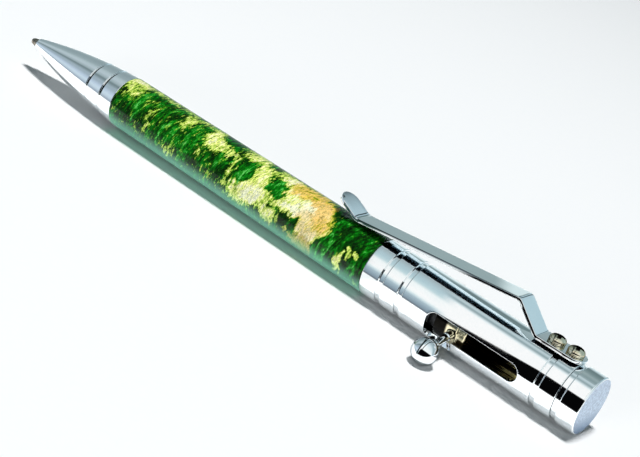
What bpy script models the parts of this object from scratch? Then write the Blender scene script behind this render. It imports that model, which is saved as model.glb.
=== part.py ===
# Bolt action pen, lying on its side with the clip up and the bolt knob on the near side.
# The pen's axis is the X axis: the writing tip points to -X and the cap's flat end face is at x = 0.
# Angles round the pen are counted from +Z (the clip) towards -Y (the near side).

import math

import bmesh
import bpy
from mathutils import Matrix, Vector

mm = 0.001

# The pen's length, 150.6 mm, adds up from its pieces, and its body's radius, 6.15 mm, from its walls.

# Clearances, chamfers and the overrun of every cut
press_gap = 0.05 * mm
running_gap = 0.05 * mm
joint_gap = 0.05 * mm
seat_gap = 0.1 * mm
screw_gap = 0.15 * mm
loose_gap = 0.2 * mm
edge_break = 0.15 * mm
cut_overrun = 1.5 * mm

# Bolt housing: a tube with two turned grooves in front and one at the rear
housing_length = 45.55 * mm
housing_wall = 1.15 * mm
groove_depth = 0.35 * mm
groove_slope = 0.15 * mm
front_groove_width = 1.2 * mm
front_groove_places = (4.4 * mm, 9.1 * mm)
rear_groove_width = 1.25 * mm
rear_groove_setback = 4.2 * mm

# Slot for the bolt, set in from the housing's front and rear ends
slot_front_setback = 16.0 * mm
slot_rear_setback = 8.2 * mm
slot_width = 3.8 * mm
notch_width = 6.6 * mm
notch_turn = math.radians(22)

# End cap
cap_length = 4.1 * mm
cap_neck_length = 1.1 * mm
cap_spigot_length = 5.35 * mm
cap_edge_radius = 0.4 * mm

# Bolt: plunger, stem and knob
plunger_length = 7.2 * mm
plunger_chamfer = 0.3 * mm
stem_radius = 1.0 * mm
stem_setback = 4.1 * mm
stem_root = 1.9 * mm
stem_forward_travel = 2.3 * mm
knob_radius = 2.65 * mm
knob_standoff = 7.15 * mm
knob_neck_radius = 1.35 * mm
knob_neck_length = 0.6 * mm
knob_hole_depth = 1.6 * mm

# Seat between the plunger and the refill
seat_wall = 0.87 * mm
seat_body_length = 7.9 * mm
seat_cup_depth = 2.4 * mm
seat_pin_radius = 1.45 * mm
seat_pin_length = 3.0 * mm

# Refill
refill_length = 109.2 * mm
refill_radius = 2.98 * mm
refill_wall = 0.3 * mm
refill_neck_radius = 1.85 * mm
refill_neck_length = 21.4 * mm
refill_shoulder_thickness = 0.6 * mm
refill_plug_length = 3.1 * mm
refill_plug_spigot_length = 3.0 * mm
refill_vent_radius = 0.4 * mm
point_spigot_length = 4.5 * mm
point_tube_radius = 1.08 * mm
point_tube_length = 6.2 * mm
point_cone_length = 2.0 * mm
point_mouth_radius = 0.62 * mm
ink_channel_radius = 0.25 * mm
ball_radius = 0.5 * mm
ball_gap = 0.02 * mm
ball_lip_share = 0.56

# Nib: a tapered shell with a stepped bore for the point, the spring, the refill and the coupler
nib_lip = 0.25 * mm
nib_rear_step = 0.47 * mm
nib_swell = 0.74 * mm
nib_mouth_gap = 0.07 * mm
nib_mouth_length = 1.2 * mm
nib_throat_length = 2.8 * mm
nib_guide_length = 3.05 * mm
nib_groove_setbacks = (8.1 * mm, 3.8 * mm)
nib_groove_width = 0.7 * mm
nib_groove_depth = 0.3 * mm
nib_socket_length = 7.9 * mm

# Spring round the refill's neck, in the room between the nib's step and the refill's shoulder
spring_room = 8.0 * mm
spring_wire_radius = 0.2 * mm
spring_neck_gap = 0.35 * mm
spring_turns = 8.5
spring_wall_gap = 0.25 * mm

# Barrel: a burl sleeve on a brass tube, with a coupler pressed into each end
sleeve_wall = 1.35 * mm
sleeve_front_step = 0.42 * mm
tube_wall = 0.35 * mm
coupler_wall = 1.05 * mm
coupler_thread_wall = 0.85 * mm
coupler_press_length = 7.6 * mm
coupler_refill_gap = 0.32 * mm

# Clip: a bent strip with a lip in front, a long arm, a riser and a foot under two screws
clip_width = 5.2 * mm
clip_thickness = 0.75 * mm
clip_foot_front = 14.9 * mm
clip_riser_run = 5.7 * mm
clip_arm_length = 37.7 * mm
clip_arm_rise = 4.45 * mm
clip_nose_gap = 0.3 * mm
clip_lip_length = 6.4 * mm
clip_lip_angle = math.radians(24)
clip_bend_radius = 1.3 * mm
clip_lip_bend_radius = 3.0 * mm

# Clip screws
screw_places = (11.45 * mm, 7.25 * mm)
screw_shank_radius = 0.85 * mm
screw_depth = 3.2 * mm
screw_head_radius = 1.75 * mm
screw_head_height = 1.5 * mm
screw_head_rim = 0.55 * mm
screw_recess_width = 0.5 * mm
screw_recess_span_share = 1.15
screw_recess_depth_share = 0.5

# How finely round shapes are divided
body_steps = 48
inner_steps = 32
small_steps = 24
swell_steps = 9
knob_steps = 12
bend_steps = 5
round_end_steps = 7
helix_points_per_turn = 10
sharp_angle = math.radians(30)
weld_distance = 0.0001 * mm

# Places along the pen from the end cap forwards, worked out from the sizes above
cap_shoulder_x = -cap_length - cap_neck_length
housing_rear_x = cap_shoulder_x - joint_gap
housing_front_x = housing_rear_x - housing_length
barrel_rear_x = housing_front_x - joint_gap
slot_front_x = housing_front_x + slot_front_setback
slot_rear_x = housing_rear_x - slot_rear_setback
stem_x = slot_front_x + notch_width - stem_radius - seat_gap
plunger_front_x = stem_x - stem_setback
refill_rear_x = plunger_front_x - seat_gap - seat_body_length
seat_front_x = refill_rear_x - seat_cup_depth
coupler_rear_x = seat_front_x - stem_forward_travel - loose_gap
tip_x = refill_rear_x - refill_length
refill_shoulder_x = tip_x + refill_neck_length
nib_front_x = tip_x + point_cone_length + loose_gap

# Steps of the nib's bore, measured from the nib's front
spring_step = refill_shoulder_x - spring_room - nib_front_x
chamber_end = refill_shoulder_x - stem_forward_travel - loose_gap - nib_front_x
socket_step = chamber_end + nib_guide_length
nib_length = socket_step + nib_socket_length
barrel_front_x = nib_front_x + nib_length + joint_gap

# Radii from the refill outwards, worked out from the walls and fits
refill_bore_radius = refill_radius - refill_wall
coupler_bore_radius = refill_radius + coupler_refill_gap
coupler_thread_radius = coupler_bore_radius + coupler_thread_wall
coupler_press_radius = coupler_bore_radius + coupler_wall
tube_bore_radius = coupler_press_radius + press_gap
tube_radius = tube_bore_radius + tube_wall
sleeve_bore_radius = tube_radius + press_gap
body_radius = sleeve_bore_radius + sleeve_wall
housing_bore_radius = body_radius - housing_wall
seat_radius = refill_radius + press_gap + seat_wall
nib_front_radius = point_tube_radius + nib_mouth_gap + nib_lip
nib_rear_radius = body_radius - nib_rear_step
nib_socket_radius = coupler_thread_radius + running_gap
spring_coil_radius = refill_neck_radius + spring_neck_gap + spring_wire_radius
knob_reach = body_radius + knob_standoff
screw_hole_radius = screw_shank_radius + screw_gap
stem_hole_radius = stem_radius + press_gap
cutter_inner_radius = housing_bore_radius - cut_overrun
cutter_outer_radius = body_radius + cut_overrun
stem_top = knob_reach - knob_radius + knob_hole_depth
clip_bottom = body_radius + seat_gap
screw_head_bottom = clip_bottom + clip_thickness + press_gap


def slot_play():
    # How far the stem can swing from the slot's middle before it meets the slot's side.
    reach = math.hypot(body_radius, stem_radius)
    return math.asin((slot_width / 2 - running_gap) / reach) - math.atan2(stem_radius, body_radius)


# The knob rests on the same surface as the housing, which sets the stem's direction.
stem_angle = math.pi / 2 + math.asin((body_radius - knob_radius) / knob_reach)
slot_angle = stem_angle - slot_play()
locked_angle = stem_angle + notch_turn


def make_material(name, colour, roughness, metallic):
    material = bpy.data.materials.new(name)
    material.use_nodes = True
    shader = material.node_tree.nodes["Principled BSDF"]
    shader.inputs["Base Color"].default_value = (*colour, 1.0)
    shader.inputs["Roughness"].default_value = roughness
    shader.inputs["Metallic"].default_value = metallic
    material.diffuse_color = (*colour, 1.0)
    return material


def add_object(name, bm, material, parent=None):
    bmesh.ops.remove_doubles(bm, verts=bm.verts, dist=weld_distance)
    bmesh.ops.recalc_face_normals(bm, faces=bm.faces)
    mesh = bpy.data.meshes.new(name)
    bm.to_mesh(mesh)
    bm.free()
    mesh.materials.append(material)
    mesh.shade_smooth()
    mesh.set_sharp_from_angle(angle=sharp_angle)
    piece = bpy.data.objects.new(name, mesh)
    bpy.context.collection.objects.link(piece)
    piece.parent = parent
    return piece


def add_empty(name, x=0, turn=0):
    # An empty on the pen's axis, turned about it.
    empty = bpy.data.objects.new(name, None)
    bpy.context.collection.objects.link(empty)
    empty.location = (x, 0, 0)
    empty.rotation_euler = (turn, 0, 0)
    return empty


def turned_mesh(outline, steps):
    # The outline's points are (distance along X, radius). One that starts on the axis also ends there.
    bm = bmesh.new()
    verts = [bm.verts.new((along, 0, radius)) for along, radius in outline]
    edges = [bm.edges.new(pair) for pair in zip(verts, verts[1:])]
    if outline[0][1] > 0:
        edges.append(bm.edges.new((verts[-1], verts[0])))
    bmesh.ops.spin(
        bm, geom=verts + edges, cent=(0, 0, 0), axis=(1, 0, 0),
        angle=2 * math.pi, steps=steps, use_merge=True)
    return bm


def add_turned(name, outline, material, steps, x=0, parent=None):
    piece = add_object(name, turned_mesh(outline, steps), material, parent)
    piece.location = (x, 0, 0)
    return piece


def stand_up(piece, x=0):
    # Turns a piece's own X axis to point away from the pen's axis, at a place along the pen.
    piece.rotation_euler = (0, -math.pi / 2, 0)
    piece.location = (x, 0, 0)
    return piece


def plug_outline(bottom, top, radius):
    # The outline of a plain round cutter.
    return [(bottom, 0), (bottom, radius), (top, radius), (top, 0)]


def cut(piece, cutter):
    cutter.hide_render = True
    cutter.display_type = "WIRE"
    modifier = piece.modifiers.new("cut by " + cutter.name, "BOOLEAN")
    modifier.operation = "DIFFERENCE"
    modifier.object = cutter


def cut_round(piece, name, bottom, top, radius, material, x=0, parent=None):
    # Drills a round hole across the pen between two distances from its axis.
    cutter = add_turned(name, plug_outline(bottom, top, radius), material, small_steps, parent=parent)
    cut(piece, stand_up(cutter, x))


def groove(place, width, radius, depth):
    # A groove with sloping sides in a surface of the given radius, centred at the place.
    half = width / 2
    floor_half = half - groove_slope
    return [
        (place - half, radius),
        (place - floor_half, radius - depth),
        (place + floor_half, radius - depth),
        (place + half, radius),
    ]


def arc_points(centre, radius, start, turn, steps):
    points = []
    for step in range(steps + 1):
        angle = start + turn * step / steps
        points.append((centre[0] + radius * math.cos(angle), centre[1] + radius * math.sin(angle)))
    return points


def add_housing(chrome):
    outline = [(0, body_radius - edge_break), (edge_break, body_radius)]
    for place in front_groove_places:
        outline += groove(place, front_groove_width, body_radius, groove_depth)
    outline += groove(housing_length - rear_groove_setback, rear_groove_width, body_radius, groove_depth)
    outline += [
        (housing_length - edge_break, body_radius),
        (housing_length, body_radius - edge_break),
        (housing_length, housing_bore_radius),
        (0, housing_bore_radius),
    ]
    housing = add_turned("bolt_housing", outline, chrome, body_steps, housing_front_x)
    add_slot(housing, chrome)
    add_notch(housing, chrome)
    for place in screw_places:
        cut_round(housing, "screw_hole_cutter", 0, cutter_outer_radius, screw_hole_radius, chrome, -place)


def add_slot(housing, material):
    # An upright prism with round ends, as an end mill leaves it, turned to the slot's direction.
    radius = slot_width / 2
    half_steps = small_steps // 2
    outline = arc_points((slot_front_x + radius, 0), radius, math.pi / 2, math.pi, half_steps)
    outline += arc_points((slot_rear_x - radius, 0), radius, -math.pi / 2, math.pi, half_steps)
    bm = bmesh.new()
    face = bm.faces.new([bm.verts.new((x, y, cutter_inner_radius)) for x, y in outline])
    grown = bmesh.ops.extrude_face_region(bm, geom=[face])
    moved = [item for item in grown["geom"] if isinstance(item, bmesh.types.BMVert)]
    bmesh.ops.translate(bm, verts=moved, vec=(0, 0, cutter_outer_radius - cutter_inner_radius))
    cutter = add_object("slot_cutter", bm, material)
    cutter.rotation_euler = (slot_angle, 0, 0)
    cut(housing, cutter)


def add_notch(housing, material):
    # A sector of a ring from the slot's middle down to the locked place, and its round end.
    bm = bmesh.new()
    corners = [
        (slot_front_x, cutter_inner_radius),
        (slot_front_x, cutter_outer_radius),
        (slot_front_x + notch_width, cutter_outer_radius),
        (slot_front_x + notch_width, cutter_inner_radius),
    ]
    face = bm.faces.new([bm.verts.new((x, 0, z)) for x, z in corners])
    turn = locked_angle - slot_angle
    bmesh.ops.spin(
        bm, geom=[face, *face.edges, *face.verts], cent=(0, 0, 0), axis=(1, 0, 0),
        angle=turn, steps=bend_steps)
    cutter = add_object("notch_cutter", bm, material)
    cutter.rotation_euler = (slot_angle, 0, 0)
    cut(housing, cutter)
    half = notch_width / 2
    middle = add_empty("notch_end_middle", slot_front_x + half, locked_angle)
    cut_round(
        housing, "notch_end_cutter", cutter_inner_radius, cutter_outer_radius, half, material, parent=middle)


def add_end_cap(satin):
    spigot_radius = housing_bore_radius - press_gap
    spigot_front = cap_shoulder_x - cap_spigot_length
    neck_radius = body_radius - groove_depth
    outline = [
        (spigot_front, 0),
        (spigot_front, spigot_radius - edge_break),
        (spigot_front + edge_break, spigot_radius),
        (cap_shoulder_x, spigot_radius),
        (cap_shoulder_x, neck_radius),
        (-cap_length, neck_radius),
        (-cap_length + groove_slope, body_radius),
    ]
    centre = (-cap_edge_radius, body_radius - cap_edge_radius)
    outline += arc_points(centre, cap_edge_radius, math.pi / 2, -math.pi / 2, bend_steps)
    outline.append((0, 0))
    cap = add_turned("end_cap", outline, satin, body_steps)
    bottom = body_radius - screw_depth - seat_gap
    cut_round(cap, "cap_hole_cutter", bottom, cutter_outer_radius, screw_hole_radius, satin, -screw_places[1])


def clip_path():
    # Middle line of the bent strip, from the lip's end to the foot's end, as (x, z) points.
    half = clip_thickness / 2
    foot_z = clip_bottom + half
    nose_z = body_radius + clip_nose_gap + half
    foot_end = Vector((-screw_places[1] + clip_width / 2, foot_z))
    foot_front = Vector((-clip_foot_front, foot_z))
    arm_rear = Vector((-clip_foot_front - clip_riser_run, nose_z + clip_arm_rise))
    arm_front = arm_rear - Vector((clip_arm_length, clip_arm_rise))
    lip_direction = Vector((-math.cos(clip_lip_angle), math.sin(clip_lip_angle)))
    lip_end = arm_front + lip_direction * clip_lip_length
    corners = [lip_end, arm_front, arm_rear, foot_front, foot_end]
    return rounded_path(corners, [clip_lip_bend_radius, clip_bend_radius, clip_bend_radius])


def rounded_path(corners, radii):
    # A line of straight runs whose corners are replaced by arcs of the given radii.
    points = [corners[0]]
    for index, radius in enumerate(radii, start=1):
        before = (corners[index - 1] - corners[index]).normalized()
        after = (corners[index + 1] - corners[index]).normalized()
        half_angle = math.acos(max(-1, min(1, before.dot(after)))) / 2
        run = radius / math.tan(half_angle)
        centre = corners[index] + (before + after).normalized() * (radius / math.sin(half_angle))
        start = corners[index] + before * run - centre
        end = corners[index] + after * run - centre
        sweep = math.atan2(start.x * end.y - start.y * end.x, start.dot(end))
        for step in range(bend_steps + 1):
            points.append(centre + Matrix.Rotation(sweep * step / bend_steps, 2) @ start)
    points.append(corners[-1])
    return points


def round_end(start, direction, reach):
    # Places along a half round end and the share of the full width at each.
    stations = []
    for step in range(1, round_end_steps + 1):
        angle = math.pi / 2 * step / (round_end_steps + 1 / 2)
        stations.append((start + direction * (reach * math.sin(angle)), math.cos(angle)))
    return stations


def clip_stations():
    # Points of the middle line with the share of the full width there, both ends half round.
    path = clip_path()
    reach = clip_width / 2
    lip_direction = (path[0] - path[1]).normalized()
    foot_direction = (path[-1] - path[-2]).normalized()
    lip_start = path[0] - lip_direction * reach
    foot_start = path[-1] - foot_direction * reach
    stations = list(reversed(round_end(lip_start, lip_direction, reach)))
    stations.append((lip_start, 1))
    stations += [(point, 1) for point in path[1:-1]]
    stations.append((foot_start, 1))
    stations += round_end(foot_start, foot_direction, reach)
    return stations


def add_clip(chrome):
    stations = clip_stations()
    half_width = clip_width / 2
    half = clip_thickness / 2
    bm = bmesh.new()
    rings = []
    for index, (point, share) in enumerate(stations):
        before = stations[max(index - 1, 0)][0]
        after = stations[min(index + 1, len(stations) - 1)][0]
        along = (after - before).normalized()
        up = Vector((-along.y, along.x))
        ring = []
        for side, level in ((1, 1), (-1, 1), (-1, -1), (1, -1)):
            place = point + up * (half * level)
            ring.append(bm.verts.new((place.x, half_width * share * side, place.y)))
        rings.append(ring)
    for ring, following in zip(rings, rings[1:]):
        for corner in range(4):
            other = (corner + 1) % 4
            bm.faces.new((ring[corner], ring[other], following[other], following[corner]))
    bm.faces.new(rings[0])
    bm.faces.new(rings[-1])
    clip = add_object("clip", bm, chrome)
    top = clip_bottom + clip_thickness + cut_overrun
    for place in screw_places:
        cut_round(clip, "clip_hole_cutter", cutter_inner_radius, top, screw_hole_radius, chrome, -place)


def add_box(name, size, material):
    bm = bmesh.new()
    bmesh.ops.create_cube(bm, size=1, matrix=Matrix.Diagonal((*size, 1)))
    return add_object(name, bm, material)


def add_screw(name, place, shank_end, nickel):
    # A domed head on a plain shank, standing along the screw's own X axis, with a cross recess.
    rim = screw_head_bottom + screw_head_rim
    dome = screw_head_height - screw_head_rim
    outline = [
        (shank_end, 0),
        (shank_end, screw_shank_radius),
        (screw_head_bottom, screw_shank_radius),
        (screw_head_bottom, screw_head_radius),
        (rim, screw_head_radius),
    ]
    for step in range(1, bend_steps):
        angle = math.pi / 2 * step / bend_steps
        outline.append((rim + dome * math.sin(angle), screw_head_radius * math.cos(angle)))
    outline.append((rim + dome, 0))
    screw = add_turned(name, outline, nickel, small_steps)
    stand_up(screw, -place)
    span = screw_head_radius * screw_recess_span_share
    depth = screw_head_height * screw_recess_depth_share
    for size in ((span, screw_recess_width, 2 * depth), (screw_recess_width, span, 2 * depth)):
        cutter = add_box(name + "_recess_cutter", size, nickel)
        cutter.location = (-place, 0, screw_head_bottom + screw_head_height)
        cut(screw, cutter)


def add_screws(nickel):
    add_screw("clip_screw_front", screw_places[0], housing_bore_radius + running_gap, nickel)
    add_screw("clip_screw_rear", screw_places[1], body_radius - screw_depth, nickel)


def add_barrel(burl, brass):
    length = barrel_rear_x - barrel_front_x
    sleeve = [
        (0, body_radius - sleeve_front_step),
        (length, body_radius),
        (length, sleeve_bore_radius),
        (0, sleeve_bore_radius),
    ]
    add_turned("barrel_sleeve", sleeve, burl, body_steps, barrel_front_x)
    tube = [(0, tube_radius), (length, tube_radius), (length, tube_bore_radius), (0, tube_bore_radius)]
    add_turned("barrel_tube", tube, brass, inner_steps, barrel_front_x)


def add_couplers(brass):
    spigot = nib_socket_length - loose_gap
    front_length = spigot + coupler_press_length
    front = [
        (0, coupler_thread_radius - edge_break),
        (edge_break, coupler_thread_radius),
        (spigot, coupler_thread_radius),
        (spigot, coupler_press_radius),
        (front_length, coupler_press_radius),
        (front_length, coupler_bore_radius),
        (0, coupler_bore_radius),
    ]
    add_turned("nib_coupler", front, brass, inner_steps, barrel_front_x - spigot)
    rear_radius = housing_bore_radius - press_gap
    rear_x = housing_front_x + joint_gap - coupler_press_length
    rear_length = coupler_rear_x - rear_x
    rear = [
        (0, coupler_press_radius),
        (coupler_press_length, coupler_press_radius),
        (coupler_press_length, rear_radius),
        (rear_length - edge_break, rear_radius),
        (rear_length, rear_radius - edge_break),
        (rear_length, coupler_bore_radius),
        (0, coupler_bore_radius),
    ]
    add_turned("rear_coupler", rear, brass, inner_steps, rear_x)


def nib_radius_at(along):
    # The nib swells like a long arc between its mouth and its rear edge.
    share = along / nib_length
    widening = (nib_rear_radius - nib_front_radius) * share
    return nib_front_radius + widening + 4 * nib_swell * share * (1 - share)


def add_nib(chrome, parent):
    grooves = [nib_length - setback for setback in nib_groove_setbacks]
    swell_end = grooves[0] - nib_groove_width / 2
    land = sum(grooves) / 2
    outline = []
    for step in range(swell_steps):
        along = swell_end * step / swell_steps
        outline.append((along, nib_radius_at(along)))
    outline += groove(grooves[0], nib_groove_width, nib_radius_at(grooves[0]), nib_groove_depth)
    outline.append((land, nib_radius_at(land)))
    outline += groove(grooves[1], nib_groove_width, nib_radius_at(grooves[1]), nib_groove_depth)
    throat_radius = refill_neck_radius + loose_gap + press_gap
    chamber_radius = spring_coil_radius + spring_wire_radius + spring_wall_gap
    refill_hole_radius = refill_radius + loose_gap
    mouth_radius = point_tube_radius + nib_mouth_gap
    outline += [
        (nib_length - edge_break, nib_rear_radius),
        (nib_length, nib_rear_radius - edge_break),
        (nib_length, nib_socket_radius),
        (socket_step, nib_socket_radius),
        (socket_step, refill_hole_radius),
        (chamber_end, refill_hole_radius),
        (chamber_end, chamber_radius),
        (spring_step, chamber_radius),
        (spring_step, throat_radius),
        (nib_mouth_length + nib_throat_length, throat_radius),
        (nib_mouth_length, mouth_radius),
        (0, mouth_radius),
    ]
    add_turned("nib", outline, chrome, body_steps, nib_front_x, parent)


def spring_points():
    # A helix about the X axis between the nib's step and the refill's shoulder.
    start = nib_front_x + spring_step + spring_wire_radius + seat_gap
    end = refill_shoulder_x - spring_wire_radius - seat_gap
    count = round(spring_turns * helix_points_per_turn)
    points = []
    for index in range(count + 1):
        angle = 2 * math.pi * index / helix_points_per_turn
        x = start + (end - start) * index / count
        points.append(Vector((x, spring_coil_radius * math.cos(angle), spring_coil_radius * math.sin(angle))))
    return points


def print_least_gap(points):
    # The least distance between turns, less the wire's own thickness.
    least = min(
        (points[first] - points[second]).length
        for first in range(len(points))
        for second in range(first + helix_points_per_turn // 2, len(points)))
    print("refill_spring least gap to itself, mm:", round((least - 2 * spring_wire_radius) / mm, 3))


def add_spring(steel, parent):
    points = spring_points()
    print_least_gap(points)
    curve = bpy.data.curves.new("refill_spring", "CURVE")
    curve.dimensions = "3D"
    curve.bevel_depth = spring_wire_radius
    curve.bevel_resolution = 1
    curve.use_fill_caps = True
    spline = curve.splines.new("POLY")
    spline.points.add(len(points) - 1)
    for target, point in zip(spline.points, points):
        target.co = (*point, 1)
    curve.materials.append(steel)
    spring = bpy.data.objects.new("refill_spring", curve)
    bpy.context.collection.objects.link(spring)
    spring.parent = parent


def add_refill_tube(steel, parent):
    rear = refill_length - refill_plug_length - joint_gap
    floor = refill_neck_length + refill_shoulder_thickness
    neck_hole_radius = refill_neck_radius + press_gap
    outline = [
        (refill_neck_length, refill_radius - edge_break),
        (refill_neck_length + edge_break, refill_radius),
        (rear, refill_radius),
        (rear, refill_bore_radius),
        (floor, refill_bore_radius),
        (floor, neck_hole_radius),
        (refill_neck_length, neck_hole_radius),
    ]
    add_turned("refill_tube", outline, steel, inner_steps, tip_x, parent)


def add_refill_plug(plastic, parent):
    front = refill_length - refill_plug_length
    spigot_front = front - refill_plug_spigot_length
    spigot_radius = refill_bore_radius - press_gap
    outline = [
        (spigot_front, spigot_radius),
        (front, spigot_radius),
        (front, refill_radius - edge_break),
        (refill_length - edge_break, refill_radius - edge_break),
        (refill_length, refill_radius - 2 * edge_break),
        (refill_length, refill_vent_radius),
        (spigot_front, refill_vent_radius),
    ]
    add_turned("refill_plug", outline, plastic, inner_steps, tip_x, parent)


def add_point(brass, parent):
    # Cone, straight tube, neck and spigot, bored for ink, with the ball's socket at the front.
    lip = ball_radius * ball_lip_share
    lip_radius = math.sqrt(ball_radius ** 2 - lip ** 2) + ball_gap
    socket_radius = ball_radius + 2 * ball_gap
    spigot_radius = refill_bore_radius - press_gap
    inside = refill_neck_length + refill_shoulder_thickness + joint_gap
    outline = [
        (ball_radius - lip, lip_radius),
        (ball_radius - lip, point_mouth_radius),
        (point_cone_length, point_tube_radius),
        (point_tube_length, point_tube_radius),
        (point_tube_length + point_cone_length, refill_neck_radius),
        (inside, refill_neck_radius),
        (inside, spigot_radius),
        (inside + point_spigot_length, spigot_radius),
        (inside + point_spigot_length, ink_channel_radius),
        (2 * ball_radius + ink_channel_radius, ink_channel_radius),
        (ball_radius + socket_radius * math.sin(math.pi / 4), socket_radius),
        (ball_radius, socket_radius),
    ]
    add_turned("refill_point", outline, brass, small_steps, tip_x, parent)


def add_ball(carbide, parent):
    bm = bmesh.new()
    bmesh.ops.create_uvsphere(bm, u_segments=16, v_segments=10, radius=ball_radius)
    add_object("writing_ball", bm, carbide, parent)


def add_seat(plastic, parent):
    # The loose black seat between the plunger and the refill's rear plug.
    rear = plunger_front_x - seat_gap
    cup_radius = refill_radius + press_gap
    floor = refill_rear_x + press_gap
    outline = [
        (floor, 0),
        (floor, cup_radius),
        (seat_front_x, cup_radius),
        (seat_front_x, seat_radius - edge_break),
        (seat_front_x + edge_break, seat_radius),
        (rear, seat_radius),
        (rear, seat_pin_radius),
        (rear + seat_pin_length, seat_pin_radius),
        (rear + seat_pin_length, 0),
    ]
    add_turned("refill_seat", outline, plastic, inner_steps, 0, parent)


def add_plunger(nickel, parent):
    radius = housing_bore_radius - running_gap
    pin_hole_radius = seat_pin_radius + 2 * running_gap
    pin_hole_depth = seat_pin_length + loose_gap
    outline = [
        (pin_hole_depth, 0),
        (pin_hole_depth, pin_hole_radius),
        (0, pin_hole_radius),
        (0, radius - edge_break),
        (edge_break, radius),
        (plunger_length - plunger_chamfer, radius),
        (plunger_length, radius - plunger_chamfer),
        (plunger_length, 0),
    ]
    plunger = add_turned("plunger", outline, nickel, body_steps, -stem_setback, parent)
    cut_round(
        plunger, "stem_hole_cutter", stem_root - press_gap, cutter_outer_radius, stem_hole_radius, nickel,
        parent=parent)


def add_stem(chrome, parent):
    outline = [
        (stem_root, 0),
        (stem_root, stem_radius - edge_break),
        (stem_root + edge_break, stem_radius),
        (stem_top - edge_break, stem_radius),
        (stem_top, stem_radius - edge_break),
        (stem_top, 0),
    ]
    stand_up(add_turned("bolt_stem", outline, chrome, small_steps, parent=parent))


def add_knob(chrome, parent):
    # A ball with a short round neck, bored from below for the stem.
    floor = stem_top + press_gap
    neck_turn = math.asin(knob_neck_radius / knob_radius)
    neck_top = knob_reach - knob_radius * math.cos(neck_turn)
    neck_bottom = neck_top - knob_neck_length
    outline = [
        (floor, 0),
        (floor, stem_hole_radius),
        (neck_bottom, stem_hole_radius),
        (neck_bottom, knob_neck_radius),
        (neck_top, knob_neck_radius),
    ]
    for step in range(1, knob_steps):
        angle = neck_turn + (math.pi - neck_turn) * step / knob_steps
        outline.append((knob_reach - knob_radius * math.cos(angle), knob_radius * math.sin(angle)))
    outline.append((knob_reach + knob_radius, 0))
    stand_up(add_turned("bolt_knob", outline, chrome, inner_steps, parent=parent))


def build():
    for item in list(bpy.data.objects):
        bpy.data.objects.remove(item, do_unlink=True)

    chrome = make_material("polished_chrome", (0.80, 0.83, 0.85), 0.06, 1.0)
    satin = make_material("satin_chrome", (0.72, 0.79, 0.86), 0.30, 1.0)
    nickel = make_material("warm_nickel", (0.78, 0.73, 0.62), 0.18, 1.0)
    burl = make_material("green_burl", (0.05, 0.19, 0.04), 0.12, 0.0)
    brass = make_material("brass", (0.80, 0.62, 0.30), 0.25, 1.0)
    steel = make_material("spring_steel", (0.62, 0.62, 0.60), 0.25, 1.0)
    plastic = make_material("black_acetal", (0.015, 0.015, 0.016), 0.35, 0.0)
    point_brass = make_material("point_brass", (0.42, 0.33, 0.22), 0.30, 1.0)
    carbide = make_material("carbide", (0.30, 0.29, 0.28), 0.20, 1.0)

    nib_axis = add_empty("nib_axis")
    slide_axis = add_empty("bolt_slide_axis")
    refill_axis = add_empty("refill_axis")
    bolt_axis = add_empty("bolt_turn_axis", stem_x, stem_angle)
    ball_axis = add_empty("writing_ball_axis", tip_x + ball_radius)

    add_housing(chrome)
    add_end_cap(satin)
    add_clip(chrome)
    add_screws(nickel)
    add_barrel(burl, brass)
    add_couplers(brass)
    add_nib(chrome, nib_axis)
    add_spring(steel, nib_axis)
    add_refill_tube(steel, refill_axis)
    add_refill_plug(plastic, refill_axis)
    add_point(point_brass, refill_axis)
    add_ball(carbide, ball_axis)
    add_seat(plastic, slide_axis)
    add_plunger(nickel, bolt_axis)
    add_stem(chrome, bolt_axis)
    add_knob(chrome, bolt_axis)

    print("overall length, mm:", round(-tip_x / mm, 3), "nib length, mm:", round(nib_length / mm, 3))
    print("stem x, mm:", round(stem_x / mm, 3), "stem angle:", round(math.degrees(stem_angle), 2))
    print("slot angle:", round(math.degrees(slot_angle), 2))
    print("swing:", round(math.degrees(2 * slot_play()), 2))


build()
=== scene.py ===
import math

import bmesh
import bpy
from mathutils import Matrix, Vector


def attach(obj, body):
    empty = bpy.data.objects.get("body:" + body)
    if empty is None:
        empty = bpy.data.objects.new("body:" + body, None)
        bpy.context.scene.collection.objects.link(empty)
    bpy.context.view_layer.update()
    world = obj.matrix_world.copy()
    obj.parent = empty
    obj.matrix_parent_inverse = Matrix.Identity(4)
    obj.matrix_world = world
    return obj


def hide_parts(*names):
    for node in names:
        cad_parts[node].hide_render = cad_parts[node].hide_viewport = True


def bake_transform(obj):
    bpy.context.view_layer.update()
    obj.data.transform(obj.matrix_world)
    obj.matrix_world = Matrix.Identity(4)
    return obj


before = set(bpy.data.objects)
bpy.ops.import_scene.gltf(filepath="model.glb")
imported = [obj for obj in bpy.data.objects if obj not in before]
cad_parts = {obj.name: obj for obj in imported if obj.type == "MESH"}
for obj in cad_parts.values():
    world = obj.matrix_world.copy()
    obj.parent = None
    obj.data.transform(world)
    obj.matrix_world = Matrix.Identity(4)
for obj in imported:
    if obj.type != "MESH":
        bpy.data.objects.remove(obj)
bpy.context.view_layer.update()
mm = 0.001

# Clock angles round the pen are counted from +Z (the clip) towards -Y (the near side).


def onScreen(red, green, blue):
    # A colour as it looks on the screen, turned into the linear value that shaders use.
    return tuple(((part + 0.055) / 1.055) ** 2.4 for part in (red, green, blue)) + (1,)


# Node helpers


def putNode(tree, kind, **settings):
    node = tree.nodes.new(kind)
    for name, value in settings.items():
        setattr(node, name, value)
    return node


def feed(tree, socket, value):
    if isinstance(value, bpy.types.NodeSocket):
        tree.links.new(value, socket)
    else:
        socket.default_value = value


def nodeOf(tree, kind, *values, output=0, **settings):
    # A node whose sockets are fed in their order; one of its outputs comes back.
    node = putNode(tree, kind, **settings)
    for socket, value in zip(node.inputs, values):
        feed(tree, socket, value)
    return node.outputs[output]


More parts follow.
